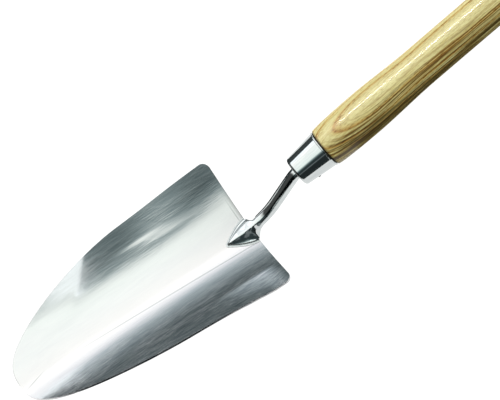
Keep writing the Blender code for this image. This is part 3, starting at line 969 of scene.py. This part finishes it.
def make_handle(material):
    start = FERRULE_LENGTH + FIT
    end = start + HANDLE_LENGTH - BUTT_WEAR
    shaft = HANDLE_SHAFT_DIAMETER / 2
    shares = [1 - i / SWELL_STEPS for i in range(SWELL_STEPS + 1)]
    falling = [HANDLE_SWELL_AT + (HANDLE_SWELL_END - HANDLE_SWELL_AT) * share for share in shares]
    rising = [HANDLE_SWELL_AT * share ** 2 for share in shares[1:]]
    bore = NECK_RADIUS + FIT
    spigot_low = FERRULE_END_WALL + FIT
    tang_tip = TANG_TIP_DIAMETER / 2 + FIT
    profile = [(0, end)]
    round_centre = (shaft - BUTT_ROUND, end - BUTT_ROUND)
    profile += arc_points(round_centre, BUTT_ROUND, 90, 0, BUTT_ROUND_STEPS)
    turned_part = [along for along in falling + rising if along > JOINT_GROOVE]
    profile += [(swell_radius(along), start + along) for along in turned_part]
    profile += [
        (swell_radius(JOINT_GROOVE), start + JOINT_GROOVE),
        (swell_radius(0) - JOINT_GROOVE, start),
        (ferrule_inner_radius(start) - FIT, start),
        (ferrule_inner_radius(FERRULE_END_ROUND) - FIT, FERRULE_END_ROUND + FIT),
        (ferrule_inner_radius(spigot_low) - FIT - FERRULE_END_ROUND / 2, spigot_low),
        (bore, spigot_low),
        (bore, TANG_TAPER_START + FIT),
        (tang_tip, TANG_LENGTH + FIT),
        (tang_tip, TANG_LENGTH + TANG_END_FIT),
        (0, TANG_LENGTH + TANG_END_FIT),
    ]
    obj = turned("handle_blank", profile)
    return finish_piece(obj, "turned_handle", HANDLE, material, "handle")


# Materials


def press_lines(tree, place):
    """1 on the crease that the press left along the dish, on the short line that ends it and on the shear's
    line inside the rear edge. It dents the steel there and also darkens its colour, and the darkening is
    painted shade."""
    parts = add(tree, "SeparateXYZ", {0: place})
    back, side = parts.outputs["X"], parts.outputs["Y"]
    sides = []
    for slope, slope_change, start in (
        (-PRESS_LINE_SLOPE, PRESS_LINE_CURVE, PRESS_LINE_SIDE),
        (LINE_END_SLOPE, 0.0, LINE_END_SIDE),
    ):
        bend = add(tree, "Math", {0: back, 1: slope_change, 2: slope}, operation="MULTIPLY_ADD")
        at = add(tree, "Math", {0: back, 1: bend.outputs[0], 2: start}, operation="MULTIPLY_ADD")
        sides.append(at.outputs[0])
    crease_side, end_side = sides
    shares = []
    for across, middle, width in (
        (side, crease_side, PRESS_LINE_WIDTH),
        (back, -REAR_LIP_WIDTH, PRESS_LINE_WIDTH),
        (side, SHEAR_LINE_MIDDLE, SHEAR_LINE_LENGTH),
        (side, end_side, PRESS_LINE_WIDTH),
        (back, -LINE_END_BACK, LINE_END_LENGTH),
    ):
        off = add(tree, "Math", {0: across, 1: middle}, operation="SUBTRACT")
        away = add(tree, "Math", {0: off.outputs[0]}, operation="ABSOLUTE")
        line = {"Value": away.outputs[0], "From Min": width / 2, "From Max": 0.0}
        shares.append(add(tree, "MapRange", line, interpolation_type="SMOOTHSTEP").outputs[0])
    crease, shear, beside_foot, end, near_end = shares
    nose = {"Value": back, "From Min": -PRESS_LINE_FADED, "From Max": -PRESS_LINE_FADES}
    before_nose = add(tree, "MapRange", nose, interpolation_type="SMOOTHSTEP").outputs[0]
    lines = 0.0
    for line, where in ((crease, before_nose), (shear, beside_foot), (end, near_end)):
        shown = add(tree, "Math", {0: line, 1: where}, operation="MULTIPLY")
        lines = add(tree, "Math", {0: lines, 1: shown.outputs[0]}, operation="MAXIMUM").outputs[0]
    return lines


# Marks of buffing on the blade: length and width in mm, turn from the blade's length in degrees, detail.
# The lines of a real buffing wheel are about 0.05 mm wide, so the finest are drawn 0.8 mm wide, to show
BUFFING = {
    "fine": (13, 0.8, 8, 2.0),
    "broad": (28, 5, 8, 4.0),
    "strokes": (8, 0.8, -22, 2.0),
    "patches": (22, 13, 8, 0.0),
    "grain": (9, 0.9, 8, 3.0),
}


def buffed_sheet_steel():
    """Stainless sheet, pressed to shape and buffed along its length: soft mirror bands that fine streaks
    blur, with strokes across them in patches and a greyer grain on the right wing. The greyer grain is kept
    to that wing, where the reflection is dark, so it is painted shade as well as grain."""
    material, tree, shader = new_material("buffed_stainless_sheet")
    place = add(tree, "Attribute", attribute_name=MAKER_PLACE).outputs["Vector"]
    side = add(tree, "SeparateXYZ", {0: place}).outputs["Y"]
    marks = {}
    for name, (length, width, turn, detail) in BUFFING.items():
        stretched = add(tree, "Mapping", {
            "Vector": place,
            "Rotation": (0.0, 0.0, math.radians(turn)),
            "Scale": (1 / (length * MM), 1 / (width * MM), 1 / (width * MM)),
        })
        pattern = {"Vector": stretched.outputs["Vector"], "Scale": 1.0, "Detail": detail}
        marks[name] = add(tree, "TexNoise", pattern).outputs["Fac"]
    streaks = add(tree, "Mix", {0: 0.5, "A": marks["fine"], "B": marks["broad"]}).outputs[0]
    shares = {}
    for name, value, start, end, at_start, at_end, run in (
        ("roughest", side, -12 * MM, 12 * MM, 0.27, 0.15, "SMOOTHSTEP"),
        ("patches", marks["patches"], 0.46, 0.58, 0.0, 1.0, "SMOOTHSTEP"),
        ("grain", marks["grain"], 0.42, 0.60, 0.0, 1.0, "LINEAR"),
        ("shaded_right_wing", side, -12 * MM, -24 * MM, 0.0, 1.0, "SMOOTHSTEP"),
    ):
        shares[name] = add(tree, "MapRange", {
            "Value": value,
            "From Min": start,
            "From Max": end,
            "To Min": at_start,
            "To Max": at_end,
        }, interpolation_type=run).outputs[0]
    rough = add(tree, "MapRange", {
        "Value": streaks,
        "From Min": 0.38,
        "From Max": 0.64,
        "To Min": 0.08,
        "To Max": shares["roughest"],
    })
    crossing = add(tree, "Math", {0: marks["strokes"], 1: shares["patches"]}, operation="MULTIPLY")
    # worn is the greyer grain on the right wing: painted shade as well as grain, kept to the wing whose
    # reflection is dark
    worn = add(tree, "Math", {0: shares["grain"], 1: shares["shaded_right_wing"]}, operation="MULTIPLY")
    lines = press_lines(tree, place)
    normal = {}
    for height, depth, sunk in (
        (marks["broad"], 0.035 * MM, False),
        (marks["fine"], 0.008 * MM, False),
        (crossing.outputs[0], 0.02 * MM, False),
        (lines, PRESS_LINE_DEPTH, True),
    ):
        bump = add(tree, "Bump", {"Height": height, "Distance": depth, **normal}, invert=sunk)
        normal = {"Normal": bump.outputs["Normal"]}
    tone = add(tree, "ValToRGB", {"Fac": streaks})
    set_stops(tone, [(0.3, linear("#C9C9CA")), (0.7, linear("#D0D0D0"))])
    colour = tone.outputs["Color"]
    # The press lines darken the colour along the crease: painted shade, beside the dent that their bump
    # gives
    for share, shade in ((worn.outputs[0], "#DEE0E4"), (lines, "#DCE0DE")):
        mixed = {0: share, 6: colour, 7: linear(shade)}
        colour = add(tree, "Mix", mixed, data_type="RGBA", blend_type="MULTIPLY").outputs[2]
    fill(tree, shader, {"Base Color": colour, "Metallic": 1.0, "Roughness": rough.outputs[0], **normal})
    return material


# Steels of the small pieces: name, size of the unevenness in mm, its depth in mm, roughness, two tones. The
# neck is forged and polished by hand: broad ripples in a keen reflection. The ferrule is drawn tube: fine
# lines along a mirror. The weld is filed and stays matt. The rivet was never polished, and its tarnish
# makes it a dark spot. Real grit and drawn lines are about 0.1 mm wide. They are drawn 0.8 mm wide or
# more, to show
STEELS = {
    "neck": ("polished_stainless_forging", (6, 3, 3), 0.06, 0.09, "#BCC1C2", "#C9CDCC"),
    "ferrule": ("polished_stainless_tube", (0.9, 0.9, 18), 0.006, 0.07, "#BCC1C2", "#C9CDCC"),
    "weld": ("dressed_stainless_weld", (1.2, 1.2, 1.2), 0.08, 0.4, "#BCC1C2", "#C9CDCC"),
    "rivet": ("tarnished_steel_rivet", (0.8, 0.8, 0.8), 0.02, 0.5, "#2E3030", "#3C3E3E"),
}


def formed_steel(name, size, depth, roughness, darker, lighter):
    """Steel of a small piece, whose tone and surface drift with the unevenness that its making left."""
    material, tree, shader = new_material(name)
    place = add(tree, "Attribute", attribute_name=MAKER_PLACE)
    stretched = add(tree, "Mapping", {
        "Vector": place.outputs["Vector"],
        "Scale": tuple(1 / (length * MM) for length in size),
    })
    pattern = {"Vector": stretched.outputs["Vector"], "Scale": 1.0, "Detail": 2.0}
    waviness = add(tree, "TexNoise", pattern).outputs["Fac"]
    tone = add(tree, "ValToRGB", {"Fac": waviness})
    set_stops(tone, [(0.3, linear(darker)), (0.7, linear(lighter))])
    bump = add(tree, "Bump", {"Height": waviness, "Distance": depth * MM})
    fill(tree, shader, {
        "Base Color": tone.outputs["Color"],
        "Metallic": 1.0,
        "Roughness": roughness,
        "Normal": bump.outputs["Normal"],
    })
    return material


# Ash: the rings' centre lies under the handle, and the rings rise toward the ferrule, so that one is cut
# at its crest there and shows as an arch. They wander by 0.7 mm over some 14 mm across and 70 mm along
RING_CENTRE_DEPTH = 0.045
RING_CREST_LEAN = math.radians(5.4)
RING_SPACING = 0.0025
RING_RISE = 0.0042
RING_RISE_LENGTH = 0.038
RING_WANDER = 0.0007
RING_WANDER_SIZE = (14, 14, 70)
ARCH_LEVEL = 0.0106

# Tones across one ring, from the porous early wood to the dense late wood
RING_TONES = [
    (0.0, "#C69E54"),
    (0.05, "#BE944A"),
    (0.13, "#D2B66C"),
    (0.30, "#DCCD8C"),
    (0.75, "#E1D698"),
    (0.94, "#D8C680"),
    (1.0, "#C6A45A"),
]

# Figure of the ash, in the order in which it darkens the wood: name, whether it follows the rings or else
# the handle, size in mm, detail, noise at which it starts and is full, its full share and its tone. Real
# fibres are 0.02 mm wide and pores 0.25 mm, so they are drawn 0.5 and 0.55 mm wide, to show
# The layers, lines and bands are painted shade as well as figure: they are faint on the crest and the +Y
# side and grow toward the shaded flank on the -Y side, and the bands make a dark line along its limb
ASH_FIGURE = [
    ("layers", True, (0.42, 12, 70), 3.0, 0.50, 0.62, 1.0, "#B4925A"),
    ("fibres", False, (0.5, 0.5, 16), 2.0, 0.50, 0.68, 0.8, "#DACCA4"),
    ("pores", False, (0.55, 0.55, 2.6), 1.0, 0.54, 0.62, 1.0, "#B89A62"),
    ("lines", True, (0.28, 5, 55), 2.0, 0.53, 0.58, 1.0, "#7C6634"),
    ("bands", True, (1.5, 30, 90), 1.0, 0.50, 0.56, 1.0, "#847A58"),
]
JOINT_SHADE_TONE = "#1C1610"


def ring_places(tree, place):
    """Places in the growth of the tree: how far out of the rings' centre, straightened where they rise and
    with the wander of real growth, how far sideways of their crest, and how far along."""
    crest = (-math.cos(RING_CREST_LEAN), -math.sin(RING_CREST_LEAN), 0.0)
    side = (math.sin(RING_CREST_LEAN), -math.cos(RING_CREST_LEAN), 0.0)
    height = add(tree, "VectorMath", {0: place, 1: crest}, operation="DOT_PRODUCT")
    from_centre = add(tree, "Math", {0: height.outputs["Value"], 1: RING_CENTRE_DEPTH})
    sideways = add(tree, "VectorMath", {0: place, 1: side}, operation="DOT_PRODUCT")
    flat = add(tree, "CombineXYZ", {"X": from_centre.outputs[0], "Y": sideways.outputs["Value"]})
    radius = add(tree, "VectorMath", {0: flat.outputs[0]}, operation="LENGTH")
    along = add(tree, "SeparateXYZ", {0: place}).outputs["Z"]
    fall = {0: along, 1: -1 / RING_RISE_LENGTH, 2: FERRULE_LENGTH / RING_RISE_LENGTH}
    behind_ferrule = add(tree, "Math", fall, operation="MULTIPLY_ADD")
    fading = add(tree, "Math", {0: behind_ferrule.outputs[0]}, operation="EXPONENT")
    stretched = add(tree, "Mapping", {
        "Vector": place,
        "Scale": tuple(1 / (length * MM) for length in RING_WANDER_SIZE),
    })
    pattern = {"Vector": stretched.outputs["Vector"], "Scale": 1.0, "Detail": 2.0}
    wander = add(tree, "TexNoise", pattern).outputs["Fac"]
    out = radius.outputs["Value"]
    for share, most in ((fading.outputs[0], -RING_RISE), (wander, RING_WANDER)):
        out = add(tree, "Math", {0: share, 1: most, 2: out}, operation="MULTIPLY_ADD").outputs[0]
    return out, sideways.outputs["Value"], along


def varnished_ash():
    """Ash turned lengthwise to the grain, under clear gloss varnish: straw coloured rings with dark pores,
    and one sharp highlight along the handle. Its figure darkens toward the shaded flank on the -Y side,
    with a dark line along that flank's limb: painted shade as well as figure."""
    material, tree, shader = new_material("varnished_ash")
    place = add(tree, "Attribute", attribute_name=MAKER_PLACE).outputs["Vector"]
    out, sideways, along = ring_places(tree, place)
    grown = add(tree, "CombineXYZ", {"X": out, "Y": sideways, "Z": along}).outputs[0]
    rings = add(tree, "Math", {
        0: out,
        1: 1 / RING_SPACING,
        2: -(RING_CENTRE_DEPTH + ARCH_LEVEL) / RING_SPACING,
    }, operation="MULTIPLY_ADD")
    ring = add(tree, "Math", {0: rings.outputs[0]}, operation="FRACT").outputs[0]
    wood = add(tree, "ValToRGB", {"Fac": ring})
    set_stops(wood, [(across, linear(tone)) for across, tone in RING_TONES])
    where = {"fibres": 1.0}
    # Painted shade: the layers, lines and bands grow from the crest toward the shaded -Y flank, and the
    # bands lie along its limb
    for name, value, start, end, at_start, run in (
        ("layers", sideways, -1.5 * MM, 7 * MM, 0.10, "SMOOTHSTEP"),
        ("pores", ring, 0.40, 0.04, 0.30, "LINEAR"),
        ("lines", sideways, 2 * MM, 10 * MM, 0.08, "SMOOTHSTEP"),
        ("bands", sideways, 8.5 * MM, 11.5 * MM, 0.0, "SMOOTHSTEP"),
        ("joint_shade", along, FERRULE_LENGTH + JOINT_SHADE_WIDTH, FERRULE_LENGTH, 0.0, "SMOOTHSTEP"),
    ):
        where[name] = add(tree, "MapRange", {
            "Value": value,
            "From Min": start,
            "From Max": end,
            "To Min": at_start,
        }, interpolation_type=run).outputs[0]
    marks = {}
    shades = []
    for name, by_ring, size, detail, faint, full, most, tone in ASH_FIGURE:
        stretched = add(tree, "Mapping", {
            "Vector": grown if by_ring else place,
            "Scale": tuple(1 / (length * MM) for length in size),
        })
        pattern = {"Vector": stretched.outputs["Vector"], "Scale": 1.0, "Detail": detail}
        marks[name] = add(tree, "TexNoise", pattern).outputs["Fac"]
        showing = {"Value": marks[name], "From Min": faint, "From Max": full, "To Max": most}
        share = add(tree, "MapRange", showing)
        shown = add(tree, "Math", {0: share.outputs[0], 1: where[name]}, operation="MULTIPLY")
        shades.append((shown.outputs[0], tone))
    # The near-black line at the ferrule's rim is painted shade of the gap there
    shades.append((where["joint_shade"], JOINT_SHADE_TONE))
    colour = wood.outputs["Color"]
    for share, tone in shades:
        mixed = {0: share, 6: colour, 7: linear(tone)}
        colour = add(tree, "Mix", mixed, data_type="RGBA", blend_type="MULTIPLY").outputs[2]
    grain = add(tree, "Bump", {"Height": marks["fibres"], "Strength": 0.5, "Distance": 0.03 * MM})
    fill(tree, shader, {
        "Base Color": colour,
        "Roughness": 0.45,
        "Specular IOR Level": 0.4,
        "Coat Weight": 0.15,
        "Coat Roughness": 0.06,
        "Normal": grain.outputs["Normal"],
    })
    return material


make_camera()
make_room()
make_table()
make_mats()
make_screen()
lamps = {row[0]: make_lamp(*row) for row in LAMPS}

steels = {piece: formed_steel(*row) for piece, row in STEELS.items()}
make_blade(buffed_sheet_steel())
make_neck(steels["neck"])
make_weld(steels["weld"])
make_ferrule(steels["ferrule"])
make_pin(steels["rivet"])
handle = make_handle(varnished_ash())

# A flag keeps the strip's light off the steel, so that it shows in the varnish alone
lit = bpy.data.collections.new("lit_by_varnish_strip")
lit.objects.link(handle)
lamps["varnish_strip"].light_linking.receiver_collection = lit

bpy.context.scene.view_settings.view_transform = "Standard"
